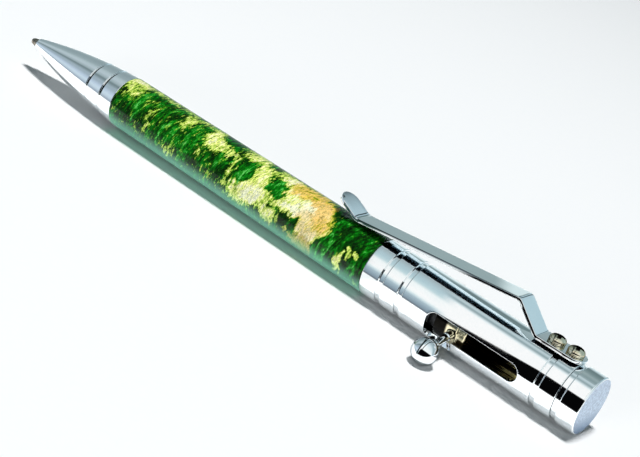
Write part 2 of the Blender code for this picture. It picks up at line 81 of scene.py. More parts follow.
def mathOf(tree, operation, first, second=0.0, third=0.0, clamp=False):
    return nodeOf(tree, "ShaderNodeMath", first, second, third, operation=operation, use_clamp=clamp)


def times(tree, first, second):
    return mathOf(tree, "MULTIPLY", first, second)


def minus(tree, first, second):
    return mathOf(tree, "SUBTRACT", first, second)


def vectorOf(tree, operation, *values, output=0):
    return nodeOf(tree, "ShaderNodeVectorMath", *values, output=output, operation=operation)


def partsOf(tree, vector):
    node = putNode(tree, "ShaderNodeSeparateXYZ")
    feed(tree, node.inputs[0], vector)
    return node.outputs


def pointOf(tree, *values):
    return nodeOf(tree, "ShaderNodeCombineXYZ", *values)


def stretched(tree, vector, scale):
    node = putNode(tree, "ShaderNodeMapping")
    node.inputs["Scale"].default_value = scale
    feed(tree, node.inputs["Vector"], vector)
    return node.outputs[0]


def rangeOf(tree, value, fromLow, fromHigh, toLow=0.0, toHigh=1.0):
    return nodeOf(
        tree, "ShaderNodeMapRange", value, fromLow, fromHigh, toLow, toHigh, interpolation_type="SMOOTHSTEP")


def mixColours(tree, factor, first, second, blend="MIX"):
    node = putNode(tree, "ShaderNodeMix", data_type="RGBA", blend_type=blend)
    feed(tree, node.inputs[0], factor)
    feed(tree, node.inputs[6], first)
    feed(tree, node.inputs[7], second)
    return node.outputs[2]


def rampOf(tree, value, stops):
    # Each stop is (place, red, green, blue).
    node = putNode(tree, "ShaderNodeValToRGB")
    elements = node.color_ramp.elements
    while len(elements) < len(stops):
        elements.new(0.5)
    for element, (place, *colour) in zip(elements, stops):
        element.position = place
        element.color = onScreen(*colour)
    feed(tree, node.inputs[0], value)
    return node.outputs[0]


def noiseOf(tree, vector, scale, detail, roughness, distortion=0.0, output=0):
    node = putNode(tree, "ShaderNodeTexNoise")
    for name, value in zip(
            ("Vector", "Scale", "Detail", "Roughness", "Distortion"),
            (vector, scale, detail, roughness, distortion)):
        feed(tree, node.inputs[name], value)
    return node.outputs[output]


def objectPoint(tree):
    return nodeOf(tree, "ShaderNodeTexCoord", output="Object")


def newMaterial(name, **sockets):
    material = bpy.data.materials.new(name)
    material.use_nodes = True
    tree = material.node_tree
    shader = tree.nodes["Principled BSDF"]
    for socket, value in sockets.items():
        shader.inputs[socket.replace("_", " ")].default_value = value
    return tree, shader


def rippled(tree, shader, height, strength):
    ripple = putNode(tree, "ShaderNodeBump")
    ripple.inputs["Strength"].default_value = strength
    ripple.inputs["Distance"].default_value = 0.1 * mm
    feed(tree, ripple.inputs["Height"], height)
    feed(tree, shader.inputs["Normal"], ripple.outputs[0])


def effectGroup(name, inputs, outputs):
    group = bpy.data.node_groups.new(name, "ShaderNodeTree")
    for side, sockets in (("INPUT", inputs), ("OUTPUT", outputs)):
        for label, kind in sockets.items():
            group.interface.new_socket(label, in_out=side, socket_type="NodeSocket" + kind)
    return group, putNode(group, "NodeGroupInput").outputs, putNode(group, "NodeGroupOutput").inputs


# Shared effect: fine handling marks, as a colour share, a roughness and a height

def handlingMarks():
    group, given, made = effectGroup(
        "handlingMarks",
        {"Point": "Vector", "Fineness": "Float", "Roughness Low": "Float", "Roughness High": "Float"},
        {"Tone": "Float", "Roughness": "Float", "Height": "Float"})
    broad = noiseOf(group, given["Point"], given["Fineness"], 5.0, 0.55)
    fine = noiseOf(group, given["Point"], times(group, given["Fineness"], 9.0), 3.0, 0.6)
    both = mathOf(group, "MULTIPLY_ADD", fine, 0.4, times(group, broad, 0.6))
    feed(group, made["Tone"], rangeOf(group, both, 0.3, 0.7))
    feed(group, made["Roughness"], rangeOf(
        group, broad, 0.35, 0.65, given["Roughness Low"], given["Roughness High"]))
    feed(group, made["Height"], both)
    return group


marksGroup = handlingMarks()


def markedMetal(name, dark, light, roughness, fineness, bump, stretch=(1, 1, 1)):
    # A metal whose colour, gloss and surface all vary a little; its two colours are given as they look.
    tree, shader = newMaterial(name, **{"Metallic": 1.0, **metalSockets.get(name, {})})
    marks = putNode(tree, "ShaderNodeGroup", node_tree=marksGroup)
    point = stretched(tree, objectPoint(tree), stretch)
    for socket, value in zip(marks.inputs, (point, fineness, *roughness)):
        feed(tree, socket, value)
    feed(tree, shader.inputs["Base Color"], mixColours(
        tree, marks.outputs["Tone"], onScreen(*dark), onScreen(*light)))
    feed(tree, shader.inputs["Roughness"], marks.outputs["Roughness"])
    rippled(tree, shader, marks.outputs["Height"], bump)


metalLooks = {
    # Each is (dark colour, light colour, lowest and highest roughness, fineness, bump, stretch of the marks).
    "polishedChrome": ((0.955, 0.97, 0.975), (0.985, 0.99, 0.99), (0.015, 0.05), 220.0, 0.006),
    # The end face's pale blue is a painted reflection of the room.
    "satinFace": ((0.50, 0.58, 0.68), (0.88, 0.94, 1.0), (0.30, 0.42), 1800.0, 0.2),
    "knobChrome": ((0.95, 0.965, 0.97), (0.985, 0.99, 0.99), (0.015, 0.05), 220.0, 0.006),
    "warmNickel": ((0.78, 0.73, 0.60), (0.98, 0.95, 0.86), (0.08, 0.18), 900.0, 0.08),
    "plungerBrass": ((0.80, 0.75, 0.58), (0.97, 0.93, 0.82), (0.10, 0.22), 260.0, 0.05, (0.15, 1, 1)),
    # The screws' cross recess is painted dark as shade.
    "recessMetal": ((0.16, 0.14, 0.11), (0.34, 0.31, 0.25), (0.20, 0.34), 500.0, 0.05),
    # The clip's underside is painted dark as shade, and its far half is painted lighter as light.
    "clipUnderside": ((0.16, 0.19, 0.22), (0.26, 0.29, 0.32), (0.12, 0.24), 400.0, 0.04),
    "machinedBrass": ((0.78, 0.64, 0.36), (0.92, 0.80, 0.52), (0.18, 0.34), 500.0, 0.08, (6, 1, 1)),
    # The housing's bore is painted nearly black as shade.
    "darkBore": ((0.10, 0.085, 0.06), (0.20, 0.17, 0.12), (0.20, 0.34), 400.0, 0.05, (0.1, 1, 1)),
    "drawnSteel": ((0.72, 0.72, 0.72), (0.86, 0.86, 0.85), (0.15, 0.30), 350.0, 0.05, (0.1, 1, 1)),
    "pointMetal": ((0.46, 0.43, 0.39), (0.66, 0.62, 0.56), (0.16, 0.30), 600.0, 0.06, (5, 1, 1)),
    "ballCarbide": ((0.34, 0.33, 0.33), (0.48, 0.47, 0.46), (0.22, 0.36), 2500.0, 0.1),
    "blackAcetal": ((0.09, 0.09, 0.10), (0.15, 0.15, 0.16), (0.42, 0.58), 600.0, 0.12),
}
metalSockets = {
    # The dark edge tints are painted shade: they darken the rims of the ball knob and of the screw heads.
    "knobChrome": {"Specular_Tint": onScreen(0.20, 0.27, 0.30)},
    "warmNickel": {"Specular_Tint": onScreen(0.30, 0.27, 0.20)},
    "blackAcetal": {"Metallic": 0.0},
}
paintedMetalShades = {
    # Painted light and shade on metals. Each is (axis, the places in millimetres between which a second colour comes
    # in, that colour).
    "clipUnderside": (1, -0.3, 0.5, (0.86, 0.93, 0.96)),
    # The end face is painted darker towards the bottom as shade.
    "satinFace": (2, -0.5, -5.5, (0.46, 0.56, 0.67)),
    # The plunger's front end is painted dark as shade, where it lies in the notch.
    "plungerBrass": (0, -30.4, -30.9, (0.07, 0.065, 0.055)),
}
boreHighlights = {"stretch": (50, 1200, 1200), "edges": (0.47, 0.53), "lit": (-22.5, -19.5), "colour": (1.0, 0.97, 0.80)}


def overlaid(name, share, colour):
    # Where the share is one, the metal takes a second colour; this paints light or shade onto it.
    tree = bpy.data.materials[name].node_tree
    base = tree.nodes["Principled BSDF"].inputs["Base Color"]
    feed(tree, base, mixColours(tree, share, base.links[0].from_socket, onScreen(*colour)))


def shadeAcross(name, axis, low, high, colour):
    tree = bpy.data.materials[name].node_tree
    overlaid(name, rangeOf(tree, partsOf(tree, objectPoint(tree))[axis], low * mm, high * mm), colour)


def paintBoreHighlights(name, stretch, edges, lit, colour):
    # Painted highlights: thin cream lines of light are painted along the bore's wall; they end where the front half
    # lies in the painted dark.
    tree = bpy.data.materials[name].node_tree
    point = objectPoint(tree)
    lines = noiseOf(tree, stretched(tree, point, stretch), 1.0, 3.0, 0.55)
    share = times(tree, rangeOf(tree, lines, *edges), rangeOf(
        tree, partsOf(tree, point)[0], lit[0] * mm, lit[1] * mm))
    overlaid(name, share, colour)


for metal, look in metalLooks.items():
    markedMetal(metal, *look)
for metal, shade in paintedMetalShades.items():
    shadeAcross(metal, *shade)
paintBoreHighlights("darkBore", **boreHighlights)
print("metals are ready:", len(metalLooks))


# Stabilised burl: patches of cream in green, placed by x in millimetres and clock angle in degrees

burlLook = {
    # Each patch is (x, clock angle, half length, half angle, weight).
    "cream": [
        (-118.5, 22, 3.0, 34, 0.7), (-117, 0, 5.0, 14, 0.5), (-108, -4, 7.0, 12, 0.5), (-111, 52, 1.0, 34, 0.3),
        (-102.5, 24, 2.0, 26, 0.65), (-97, 2, 4.5, 14, 0.5), (-94.6, 28, 2.4, 26, 1.0), (-90.5, 34, 2.6, 9, 0.8),
        (-87.6, 72, 0.9, 44, 0.55), (-84.5, 8, 3.4, 26, 0.85), (-80.8, 62, 2.8, 52, 1.0),
        (-83.5, 98, 3.6, 22, 0.85), (-77.8, 88, 2.5, 30, 0.8), (-77, 8, 3.6, 18, 0.7),
        (-70, 28, 7.0, 44, 1.1), (-65.2, 60, 3.8, 44, 1.2), (-72, 68, 4.2, 14, 0.95), (-74.8, 103, 2.0, 18, 0.8),
        (-66.5, 112, 4.2, 30, 0.95), (-103, 108, 1.6, 20, 0.45), (-56.4, 100, 0.8, 24, 0.8),
        (-54.6, 74, 0.8, 12, 0.75), (-110.6, 92, 0.6, 18, 0.6), (-96.2, 80, 0.4, 22, 0.55),
        (-100, 200, 16, 30, 0.8), (-70, 240, 10, 60, 0.9), (-110, 285, 8, 40, 0.8),
    ],
    "green": [
        (-84.0, 48, 1.9, 24, 0.9), (-76.0, 44, 2.4, 22, 1.0), (-80.6, 8, 1.7, 10, 0.7), (-70.6, 92, 2.5, 11, 1.15),
        (-88.8, 64, 1.0, 20, 0.5), (-91.5, 10, 2.4, 16, 0.7), (-67.5, 20, 1.6, 8, 0.45), (-78.2, 108, 1.2, 10, 0.5),
        (-74, 56, 1.2, 8, 0.6),
    ],
    "gold": [
        (-68.5, 12, 6.0, 30, 1.0), (-63.5, 40, 3.0, 34, 0.7), (-74, 36, 2.0, 16, 0.4), (-66, 75, 4.5, 30, 0.55),
    ],
    "tan": [(-66.5, 118, 5.5, 22, 1.0), (-73, 118, 3.0, 12, 0.7), (-82, 122, 4.0, 12, 0.4)],
    "bright": [
        (-104.5, 78, 3.5, 30, 1.0), (-98.5, 52, 2.0, 40, 0.8), (-114, 66, 1.6, 40, 0.5), (-76, 40, 3.0, 30, 0.7),
        (-58, 26, 3.0, 14, 0.9), (-59.5, 76, 2.2, 26, 0.8), (-94, 84, 2.4, 22, 0.3), (-84, 50, 2.4, 34, 0.6),
        (-107, 12, 5.0, 16, 0.6),
    ],
    "slivers": [
        (-56.6, 103, 0.7, 20, 1.0), (-55.4, 80, 0.5, 14, 0.8), (-54.2, 70, 0.6, 10, 0.9), (-57.0, 122, 0.7, 10, 0.8),
        (-52.0, 124, 1.0, 8, 0.7),
    ],
    "boundary": -60.6,  # the wood is green again to the rear of it
    "lean": 0.026,  # how far the streaks slide along the pen, in millimetres for each degree
    "grainScale": 330.0,
    # Each noise is (scale, detail, roughness, distortion).
    "bendNoise": (0.28, 3.0, 0.6),
    "bendShift": (3.4, 34, 0),
    "frayNoise": (1.1, 5.0, 0.68),
    "frayShift": (3.6, 52, 0),
    "fleckNoise": (1.25, 8.0, 0.80, 0.5),
    "smallFleckNoise": (2.7, 6.0, 0.72, 0.3),
    "greenNoise": (0.5, 6.0, 0.7, 0.8),
    "fleck": 3.92,
    "greens": [
        (0.0, 0.0, 0.05, 0.005), (0.30, 0.0, 0.19, 0.02), (0.55, 0.0, 0.40, 0.04), (0.80, 0.05, 0.60, 0.10),
        (1.0, 0.40, 0.80, 0.38),
    ],
    "woods": [
        (0.0, 0.20, 0.56, 0.08), (0.36, 0.56, 0.78, 0.20), (0.50, 0.86, 0.93, 0.42), (0.68, 1.0, 1.0, 0.64),
        (0.90, 1.0, 1.0, 0.86),
    ],
    "goldTint": (0.97, 0.76, 0.32),
    "tanTint": (0.78, 0.68, 0.55),
    "veins": [  # (scale, width, share, colour)
        (0.9, 0.02, 0.85, (0.03, 0.22, 0.02)), (1.9, 0.028, 0.55, (0.12, 0.40, 0.05)),
    ],
    "speck": (0.56, 0.44, 0.08),
    "paintedVeil": (0.62, 0.88, 0.79),
    "paintedVeilClock": (98.0, 146.0),
}


def patchGroup():
    group, given, made = effectGroup(
        "grainPatch",
        {"Point": "Vector", "Centre": "Vector", "Size": "Vector", "Weight": "Float", "Sum": "Float"},
        {"Sum": "Float"})
    offset = vectorOf(group, "SUBTRACT", given["Point"], given["Centre"])
    reach = vectorOf(group, "LENGTH", vectorOf(group, "DIVIDE", offset, given["Size"]), output="Value")
    inside = rangeOf(group, reach, 1.25, 0.55)
    feed(group, made["Sum"], mathOf(group, "MULTIPLY_ADD", inside, given["Weight"], given["Sum"]))
    return group


def patchSum(tree, group, point, patches):
    total = 0.0
    for x, clock, halfLength, halfAngle, weight in patches:
        total = nodeOf(
            tree, "ShaderNodeGroup", point, (x, clock, 0), (halfLength, halfAngle, 1), weight, total, node_tree=group)
    return total


def clockOf(tree, parts):
    # In degrees; the far side runs on from 180 to 330, so the seam lies behind at -30.
    clock = times(tree, mathOf(tree, "ARCTAN2", times(tree, parts[1], -1.0), parts[2]), 57.29578)
    return mathOf(tree, "ADD", clock, times(tree, mathOf(tree, "LESS_THAN", clock, -30.0), 360.0))


def burlMaterial():
    look = burlLook
    tree, shader = newMaterial(
        "greenBurl", Roughness=0.35, Specular_IOR_Level=0.06, Coat_Weight=1.0, Coat_Roughness=0.02, Coat_IOR=1.26)
    point = objectPoint(tree)
    parts = partsOf(tree, point)
    along = times(tree, parts[0], 1000.0)
    clock = clockOf(tree, parts)
    grain = pointOf(
        tree, mathOf(tree, "MULTIPLY_ADD", clock, look["lean"], along),
        times(tree, parts[1], look["grainScale"]), times(tree, parts[2], look["grainScale"]))
    inMillimetres = vectorOf(tree, "MULTIPLY", point, (1000, 1000, 1000))
    # The patches' edges are bent by a broad noise and frayed by a fine one.
    spot = pointOf(tree, along, clock)
    for noise, shift in (
            (noiseOf(tree, inMillimetres, *look["bendNoise"], output="Color"), look["bendShift"]),
            (noiseOf(tree, grain, *look["frayNoise"], output="Color"), look["frayShift"])):
        bend = vectorOf(tree, "SUBTRACT", noise, (0.5, 0.5, 0.5))
        spot = vectorOf(tree, "MULTIPLY_ADD", bend, shift, spot)
    group = patchGroup()
    cream, green, gold, tan, bright, slivers = (
        patchSum(tree, group, spot, look[name])
        for name in ("cream", "green", "gold", "tan", "bright", "slivers"))
    edge = mathOf(tree, "MULTIPLY_ADD", rangeOf(tree, clock, 50.0, 110.0), -3.0, look["boundary"])
    frayed = mathOf(tree, "MULTIPLY_ADD", partsOf(tree, spot)[0], 0.35, times(tree, along, 0.65))
    rearward = rangeOf(tree, minus(tree, frayed, edge), -0.25, 0.25)
    flecks = noiseOf(tree, grain, *look["fleckNoise"])
    smallFlecks = noiseOf(tree, grain, *look["smallFleckNoise"])
    fleck = mathOf(tree, "ADD", minus(tree, flecks, 0.5), times(tree, minus(tree, smallFlecks, 0.5), 0.8))
    frontPart = times(tree, minus(tree, cream, green), minus(tree, 1.0, rearward))
    creamHere = mathOf(tree, "ADD", frontPart, times(tree, slivers, rearward))
    fleckHere = mathOf(tree, "MULTIPLY_ADD", rearward, -0.45 * look["fleck"], look["fleck"])
    level = mathOf(tree, "MULTIPLY_ADD", fleck, fleckHere, creamHere)
    whole = mathOf(tree, "MULTIPLY_ADD", level, 0.55, 0.08, clamp=True)
    broadGreen = noiseOf(tree, grain, *look["greenNoise"])
    depth = mathOf(tree, "MULTIPLY_ADD", bright, 0.22, mathOf(
        tree, "MULTIPLY_ADD", broadGreen, 3.4, mathOf(
            tree, "MULTIPLY_ADD", smallFlecks, 2.6, -2.66)), clamp=True)
    wood = rampOf(tree, whole, look["woods"])
    for patch, most, tint in ((gold, 0.75, look["goldTint"]), (tan, 0.9, look["tanTint"])):
        wood = mixColours(tree, rangeOf(tree, patch, 0.1, 0.9, 0.0, most), wood, onScreen(*tint), "MULTIPLY")
    cover = rangeOf(tree, whole, 0.26, 0.36)
    colour = mixColours(tree, cover, rampOf(tree, depth, look["greens"]), wood)
    for scale, width, share, tone in look["veins"]:
        veins = noiseOf(tree, grain, scale, 6.0, 0.62, 1.6)
        away = mathOf(tree, "ABSOLUTE", minus(tree, veins, 0.5))
        colour = mixColours(tree, rangeOf(tree, away, width, 0.0, 0.0, share), colour, onScreen(*tone))
    # Brown specks lie thick in the golden wood.
    specks = times(tree, rangeOf(tree, smallFlecks, 0.47, 0.40), rangeOf(tree, gold, 0.3, 0.9, 0.15, 0.8))
    colour = mixColours(tree, times(tree, specks, cover), colour, onScreen(*look["speck"]))
    # Painted reflection: low on the near side a pale teal veil stands in for the coat's reflection of the floor.
    paintedVeil = times(tree, rangeOf(tree, clock, *look["paintedVeilClock"], 0.0, 0.8), rangeOf(
        tree, clock, 170.0, 200.0, 1.0, 0.0))
    feed(tree, shader.inputs["Base Color"], mixColours(tree, paintedVeil, colour, onScreen(*look["paintedVeil"])))
    feed(tree, shader.inputs["Roughness"], rangeOf(tree, flecks, 0.3, 0.7, 0.26, 0.42))
    rippled(tree, shader, flecks, 0.03)


burlMaterial()
print("burl is ready")


# Mesh helpers


def softened(corners, closed, steps=4):
    # Corners are (x, radius) or (x, radius, rounding), in millimetres; a rounding turns one into an arc.
    points = []
    count = len(corners)
    for index, corner in enumerate(corners):
        here = Vector(corner[:2])
        rounding = corner[2] if len(corner) > 2 else 0
        if not rounding or (not closed and index in (0, count - 1)):
            points.append(here)
            continue
        back = Vector(corners[index - 1][:2]) - here
        ahead = Vector(corners[(index + 1) % count][:2]) - here
        halfAngle = math.acos(max(-1, min(1, back.normalized().dot(ahead.normalized())))) / 2
        run = min(rounding / math.tan(halfAngle), 0.48 * back.length, 0.48 * ahead.length)
        radius = run * math.tan(halfAngle)
        centre = here + (back.normalized() + ahead.normalized()).normalized() * (radius / math.sin(halfAngle))
        start = here + back.normalized() * run - centre
        end = here + ahead.normalized() * run - centre
        sweep = math.atan2(start.x * end.y - start.y * end.x, start.dot(end))
        arc = [centre + Matrix.Rotation(sweep * step / steps, 2) @ start for step in range(steps + 1)]
        if back.length - run > 0.15:
            arc.insert(0, arc[0] + back.normalized() * 0.03)
        if ahead.length - run > 0.15:
            arc.append(arc[-1] + ahead.normalized() * 0.03)
        points += arc
    return points


def divided(points, longest, closed):
    # Long runs get points between, so that later cuts meet small faces.
    ends = points + points[:1] if closed else points
    result = [ends[0]]
    for before, after in zip(ends, ends[1:]):
        parts = max(1, math.ceil((after - before).length / longest))
        result += [before.lerp(after, part / parts) for part in range(1, parts + 1)]
    return result[:-1] if closed else result


def spun(points, steps, closed):
    # The outline, given in millimetres, is spun once round the X axis.
    bm = bmesh.new()
    verts = [bm.verts.new((x * mm, 0, max(radius, 0) * mm)) for x, radius in points]
    edges = [bm.edges.new(pair) for pair in zip(verts, verts[1:])]
    if closed:
        edges.append(bm.edges.new((verts[-1], verts[0])))
    bmesh.ops.spin(
        bm, geom=verts + edges, cent=(0, 0, 0), axis=(1, 0, 0), angle=math.tau, steps=steps, use_merge=True)
    bmesh.ops.remove_doubles(bm, verts=bm.verts, dist=0.0005 * mm)
    bmesh.ops.recalc_face_normals(bm, faces=bm.faces)
    return bm


def turned(corners, turns, closed, longest=None, steps=4):
    points = softened(corners, closed, steps)
    return spun(divided(points, longest, closed) if longest else points, turns, closed)


def putInScene(name, data):
    holder = bpy.data.objects.new(name, data)
    bpy.context.collection.objects.link(holder)
    return holder


def meshObject(bm, name, *materials):
    mesh = bpy.data.meshes.new(name)
    bm.to_mesh(mesh)
    bm.free()
    for material in materials:
        mesh.materials.append(bpy.data.materials[material])
    return putInScene(name, mesh)


def applied(piece):
    # The modifiers' result becomes the piece's own mesh.
    graph = bpy.context.evaluated_depsgraph_get()
    graph.update()
    mesh = bpy.data.meshes.new_from_object(
        piece.evaluated_get(graph), preserve_all_data_layers=True, depsgraph=graph)
    piece.modifiers.clear()
    old = piece.data
    piece.data = mesh
    bpy.data.meshes.remove(old)


def cutAway(piece, *cutters):
    for cutter in cutters:
        modifier = piece.modifiers.new("cut", "BOOLEAN")
        modifier.operation = "DIFFERENCE"
        modifier.solver = "EXACT"
        modifier.object = cutter
        applied(piece)
        bpy.data.objects.remove(cutter)


def polished(piece, sharp=38):
    # Smooth shading that keeps flat runs flat right up to their rounded edges.
    bm = bmesh.new()
    bm.from_mesh(piece.data)
    for face in bm.faces:
        face.smooth = True
    for edge in bm.edges:
        edge.smooth = edge.is_manifold and edge.calc_face_angle(0) < math.radians(sharp)
    bm.to_mesh(piece.data)
    bm.free()
    modifier = piece.modifiers.new("even normals", "WEIGHTED_NORMAL")
    modifier.keep_sharp = True
    modifier.weight = 100
    applied(piece)


def finishPiece(piece, body, node):
    polished(piece)
    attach(piece, body)
    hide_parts(node)
    print("made", piece.name, len(piece.data.polygons))


def stoodUp(bm, x, clock):
    # A shape spun round X is stood on its end at x and leaned to its clock angle.
    bmesh.ops.transform(bm, matrix=Matrix.Rotation(-math.pi / 2, 4, "Y"), verts=bm.verts)
    bmesh.ops.transform(bm, matrix=Matrix.Rotation(clock, 4, "X"), verts=bm.verts)
    bmesh.ops.translate(bm, vec=(x * mm, 0, 0), verts=bm.verts)


def roundCutter(x, clock, radius, low, high):
    bm = spun([(low, 0), (low, radius), (high, radius), (high, 0)], 48, False)
    stoodUp(bm, x, clock)
    return meshObject(bm, "roundCutter")


# Bolt housing

housingSize = {
    "front": -50.8, "rear": -5.25, "radius": 6.15, "bore": 5.0, "grooveRadius": 5.8,
    "grooves": ((-46.4, 1.2), (-41.7, 1.2), (-9.45, 1.25)),
    "slotFront": -34.8, "slotRear": -13.45, "slotHalf": 1.9, "slotClock": math.radians(97.22),
    "notchWidth": 6.6, "lockedClock": math.radians(127.26), "rim": 0.13, "cutterFoot": 4.3,
    "screwPlaces": (-11.45, -7.25), "screwHole": 1.0,
}


def housingBody():
    size = housingSize
    outer = size["radius"]
    corners = [(size["front"], outer, 0.14)]
    for middle, width in size["grooves"]:
        half = width / 2
        corners += [
            (middle - half, outer, 0.12), (middle - half + 0.1, size["grooveRadius"], 0.1),
            (middle + half - 0.1, size["grooveRadius"], 0.1), (middle + half, outer, 0.12)]
    corners += [
        (size["rear"], outer, 0.14), (size["rear"], size["bore"], 0.1), (size["front"], size["bore"], 0.1)]
    return meshObject(turned(corners, 256, True, 1.0), "housingShell", "polishedChrome", "darkBore")


def slotOutline():
    # Points of the slot and its notch on the housing's skin: (x, way round from the slot's middle, is it straight).
    size = housingSize
    outer, half, notch = size["radius"], size["slotHalf"], size["notchWidth"] / 2
    front, rear = size["slotFront"], size["slotRear"]
    locked = size["lockedClock"] - size["slotClock"]
    points = []
    for middle, start, sweep, steps in ((rear - half, 90, -180, 16), (front + half, -90, -90, 8)):
        for step in range(steps + 1):
            turn = math.radians(start + sweep * step / steps)
            points.append((middle + half * math.cos(turn), half * math.sin(turn), True))
    points += [(front, locked * outer * step / 6, False) for step in range(1, 6)]
    for step in range(25):
        turn = math.pi - math.pi * step / 24
        arc = outer * (locked + math.asin(notch * math.sin(turn) / outer))
        points.append((front + notch + notch * math.cos(turn), arc, False))
    points.append((front + 2 * notch, half, True))
    return points


def slotCutter():
    # Its walls follow the skin and flare at the top, which leaves a rounded rim.
    size = housingSize
    outer, rim = size["radius"], size["rim"]
    outline = slotOutline()
    outward = []
    for index in range(len(outline)):
        before, after = outline[index - 1], outline[(index + 1) % len(outline)]
        direction = Vector((after[0] - before[0], after[1] - before[1])).normalized()
        outward.append(Vector((-direction.y, direction.x)))
    levels = [(size["cutterFoot"], 0)]
    for step in range(6):
        turn = math.pi / 2 * step / 5
        levels.append((outer - rim * (1 - math.sin(turn)), rim * (1 - math.cos(turn))))
    levels += [(outer + 0.05, rim * 1.35), (outer + 3.4, rim * 1.35)]
    bm = bmesh.new()
    rings = []
    for radius, spread in levels:
        rings.append([])
        for (x, arc, straight), away in zip(outline, outward):
            across = arc + away.y * spread
            angle = math.asin(max(-1, min(1, across / radius))) if straight else across / outer
            place = Vector((x + away.x * spread, -radius * math.sin(angle), radius * math.cos(angle)))
            rings[-1].append(bm.verts.new(place * mm))
    for lower, upper in zip(rings, rings[1:]):
        for index in range(len(outline)):
            bm.faces.new((lower[index - 1], lower[index], upper[index], upper[index - 1]))
    bmesh.ops.triangulate(bm, faces=[bm.faces.new(ring) for ring in (rings[0], rings[-1])])
    bmesh.ops.recalc_face_normals(bm, faces=bm.faces)
    bmesh.ops.transform(bm, matrix=Matrix.Rotation(size["slotClock"], 4, "X"), verts=bm.verts)
    return meshObject(bm, "slotCutter")


def buildHousing():
    size = housingSize
    shell = housingBody()
    cutAway(shell, slotCutter(), *[
        roundCutter(place, 0, size["screwHole"], 3, 9) for place in size["screwPlaces"]])
    # The bore's faces get the painted shade.
    for face in shell.data.polygons:
        middle = face.center
        if middle.yz.length < (size["bore"] + 0.12) * mm:
            face.material_index = 1
    finishPiece(shell, "pen_body", "bolt_housing")


buildHousing()


# End cap: a flat satin face inside a bright rim

capSize = {
    "shoulder": -5.2, "front": -4.1, "radius": 6.15, "neck": 5.8, "spigot": 4.95, "spigotFront": -10.55,
    "screwPlace": -7.25, "screwHole": 1.0,
}


def buildCap():
    size = capSize
    corners = [
        (size["spigotFront"], 0), (size["spigotFront"], size["spigot"], 0.15),
        (size["shoulder"], size["spigot"], 0.03), (size["shoulder"], size["neck"], 0.05),
        (size["front"] + 0.02, size["neck"], 0.1), (size["front"] + 0.12, size["radius"], 0.13),
        (0, size["radius"], 0.32), (0, 0)]
    cap = meshObject(turned(corners, 256, False, 1.2, 6), "capTurned", "polishedChrome", "satinFace")
    cutAway(cap, roundCutter(size["screwPlace"], 0, size["screwHole"], 2.85, 7.5))
    for face in cap.data.polygons:
        if face.center.x > -0.004 * mm:
            face.material_index = 1
    finishPiece(cap, "pen_body", "end_cap")


buildCap()


# Barrel sleeve

barrelSize = {"front": -120.7, "rear": -50.85, "frontRadius": 5.73, "rearRadius": 6.15, "bore": 4.8}


def buildBarrel():
    size = barrelSize
    corners = [
        (size["front"], size["frontRadius"], 0.1), (size["rear"], size["rearRadius"], 0.08),
        (size["rear"], size["bore"], 0.05), (size["front"], size["bore"], 0.05)]
    sleeve = meshObject(turned(corners, 256, True, 6.0), "burlSleeve", "greenBurl")
    finishPiece(sleeve, "pen_body", "barrel_sleeve")


buildBarrel()


# Nib: lengths are counted from its front

nibSize = {
    "front": -148.4, "length": 27.65, "frontRadius": 1.4, "rearRadius": 5.68, "swell": 0.74,
    "grooves": (8.1, 3.8), "grooveWidth": 0.7, "grooveDepth": 0.3,
    "bore": (  # (length, radius) of each step, from the rear to the mouth
        (19.75, 4.2), (19.75, 3.18), (16.7, 3.18), (16.7, 2.85), (11.2, 2.85), (11.2, 2.1), (4.0, 2.1), (1.2, 1.15)),
}


def nibRadiusAt(along):
    size = nibSize
    share = along / size["length"]
    straight = size["frontRadius"] + (size["rearRadius"] - size["frontRadius"]) * share
    return straight + 4 * size["swell"] * share * (1 - share)


def buildNib():
    size = nibSize
    length, half = size["length"], size["grooveWidth"] / 2
    corners = [(0, size["bore"][-1][1]), (0, size["frontRadius"] - 0.02, 0.08)]
    along = 1.0
    for setback in size["grooves"] + (0,):
        mark = length - setback
        while along < mark - (half if setback else 0) - 0.5:
            corners.append((along, nibRadiusAt(along)))
            along += 0.9
        if setback:
            low = nibRadiusAt(mark) - size["grooveDepth"]
            corners += [
                (mark - half, nibRadiusAt(mark - half), 0.08), (mark - half + 0.1, low, 0.08),
                (mark + half - 0.1, low, 0.08), (mark + half, nibRadiusAt(mark + half), 0.08)]
            along = mark + half + 0.7
    corners += [(length, size["rearRadius"], 0.12), (length, size["bore"][0][1], 0.05), *size["bore"]]
    corners = [(size["front"] + along, *rest) for along, *rest in corners]
    nib = meshObject(turned(corners, 224, True), "nibTurned", "polishedChrome")
    finishPiece(nib, "nib", "nib")


buildNib()


# Refill point and its ball: lengths are counted from the tip

pointSize = {
    "tip": -150.6, "ball": 0.5,
    "outline": (  # (length, radius, rounding) from the ball's lip to the spigot and back through the bore
        (0.22, 0.434, 0.02), (0.22, 0.62, 0.05), (1.0, 0.83), (1.15, 0.80, 0.03), (1.35, 0.92, 0.05),
        (2.0, 1.08, 0.15), (6.2, 1.08, 0.2), (8.2, 1.85, 0.3), (22.05, 1.85), (22.05, 2.63, 0.05),
        (26.55, 2.63, 0.1), (26.55, 0.25), (1.25, 0.25), (0.88, 0.54), (0.5, 0.54)),
}


def buildPoint():
    size = pointSize
    corners = [(size["tip"] + along, *rest) for along, *rest in size["outline"]]
    point = meshObject(turned(corners, 96, True), "refillNose", "pointMetal")
    finishPiece(point, "refill", "refill_point")
    bm = bmesh.new()
    bmesh.ops.create_icosphere(bm, subdivisions=4, radius=size["ball"] * mm)
    bmesh.ops.translate(bm, vec=((size["tip"] + size["ball"]) * mm, 0, 0), verts=bm.verts)
    ball = meshObject(bm, "rollingBall", "ballCarbide")
    finishPiece(ball, "refill", "writing_ball")


buildPoint()


# Bolt: plunger, stem and knob

